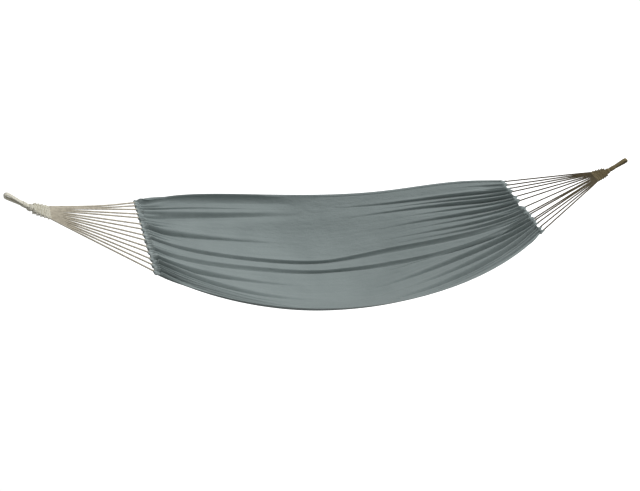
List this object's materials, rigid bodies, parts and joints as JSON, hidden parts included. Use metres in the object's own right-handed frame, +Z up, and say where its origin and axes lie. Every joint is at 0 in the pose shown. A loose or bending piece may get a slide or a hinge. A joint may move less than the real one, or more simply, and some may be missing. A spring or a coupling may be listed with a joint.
{
  "type": "hammock",
  "caption": "Empty gathered cotton canvas hammock hung by a wrapped eye at each end, with a woven head and a fan of harness cords between each eye and the cloth.",
  "frame": {"origin": "where the left eye bears on its hook: the inside of the eye's bend, in its middle", "axes": "+X runs level to the right eye's bearing point, +Z is up, +Y goes to the far side edge"},
  "size_m": [2.876, 0.7654, 0.6493],
  "materials": {
    "canvas": "plain-woven slate green cotton canvas, matt",
    "cotton_cord": "undyed twisted cotton cord, matt"
  },
  "bodies": {
    "left_eye": {"left_eye_core": "cotton_cord", "left_eye_serving": "cotton_cord", "left_eye_whipping": "cotton_cord"},
    "bed": {"bed_cloth": "canvas", "far_side_hem": "canvas", "near_side_hem": "canvas", "left_neck_knot": "cotton_cord", "left_woven_head": "cotton_cord", "left_end_hem": "canvas", "right_neck_knot": "cotton_cord", "right_woven_head": "cotton_cord", "right_end_hem": "canvas", "left_harness_cord_1": "cotton_cord", "left_harness_cord_2": "cotton_cord", "left_harness_cord_3": "cotton_cord", "left_harness_cord_4": "cotton_cord", "left_harness_cord_5": "cotton_cord", "left_harness_cord_6": "cotton_cord", "left_harness_cord_7": "cotton_cord", "right_harness_cord_1": "cotton_cord", "right_harness_cord_2": "cotton_cord", "right_harness_cord_3": "cotton_cord", "right_harness_cord_4": "cotton_cord", "right_harness_cord_5": "cotton_cord", "right_harness_cord_6": "cotton_cord", "right_harness_cord_7": "cotton_cord"},
    "right_eye": {"right_eye_core": "cotton_cord", "right_eye_serving": "cotton_cord", "right_eye_whipping": "cotton_cord"}
  },
  "joints": [
    {"name": "bed_swing", "type": "hinge", "parent": "left_eye", "child": "bed", "pos_m": [0.08, 0, -0.064], "axis": [1, 0, 0], "range_deg": [-40, 40]},
    {"name": "right_neck_turn", "type": "hinge", "parent": "bed", "child": "right_eye", "pos_m": [2.78, 0, -0.064], "axis": [1, 0, 0], "range_deg": [-40, 40]}
  ],
  "couplings": [
    {"joint": "right_neck_turn", "follows": "bed_swing", "ratio": -1}
  ]
}
